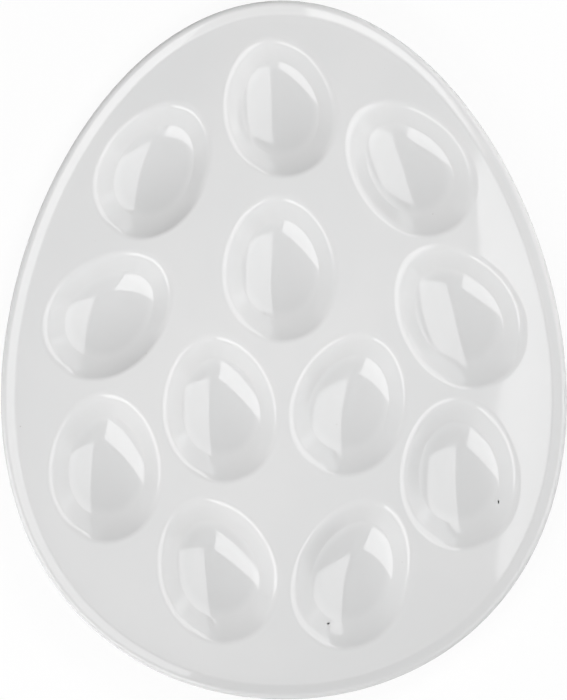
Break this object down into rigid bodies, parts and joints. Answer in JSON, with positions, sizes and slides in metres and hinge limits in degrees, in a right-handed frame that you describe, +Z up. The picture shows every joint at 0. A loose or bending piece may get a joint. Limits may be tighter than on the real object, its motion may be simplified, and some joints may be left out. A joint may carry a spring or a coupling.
{
  "type": "egg platter",
  "caption": "Egg-shaped glazed stoneware platter with a raised lip, egg-shaped wells for halved boiled eggs and a foot ring",
  "frame": {"origin": "on the table, under the middle of the platter's bounding box", "axes": "X across the platter, +Y towards its narrow end, +Z up"},
  "size_m": [0.2548, 0.3146, 0.0196],
  "materials": {
    "white_glaze": "glossy white glaze over stoneware, with a few fine dark iron specks",
    "bare_clay": "unglazed fired clay where the ring meets the table, matte"
  },
  "bodies": {
    "root": {"deck": "white_glaze", "raised_lip": "white_glaze", "foot_ring": "bare_clay", "egg_well_01": "white_glaze", "egg_well_02": "white_glaze", "egg_well_03": "white_glaze", "egg_well_04": "white_glaze", "egg_well_05": "white_glaze", "egg_well_06": "white_glaze", "egg_well_07": "white_glaze", "egg_well_08": "white_glaze", "egg_well_09": "white_glaze", "egg_well_10": "white_glaze", "egg_well_11": "white_glaze", "egg_well_12": "white_glaze"}
  },
  "joints": []
}
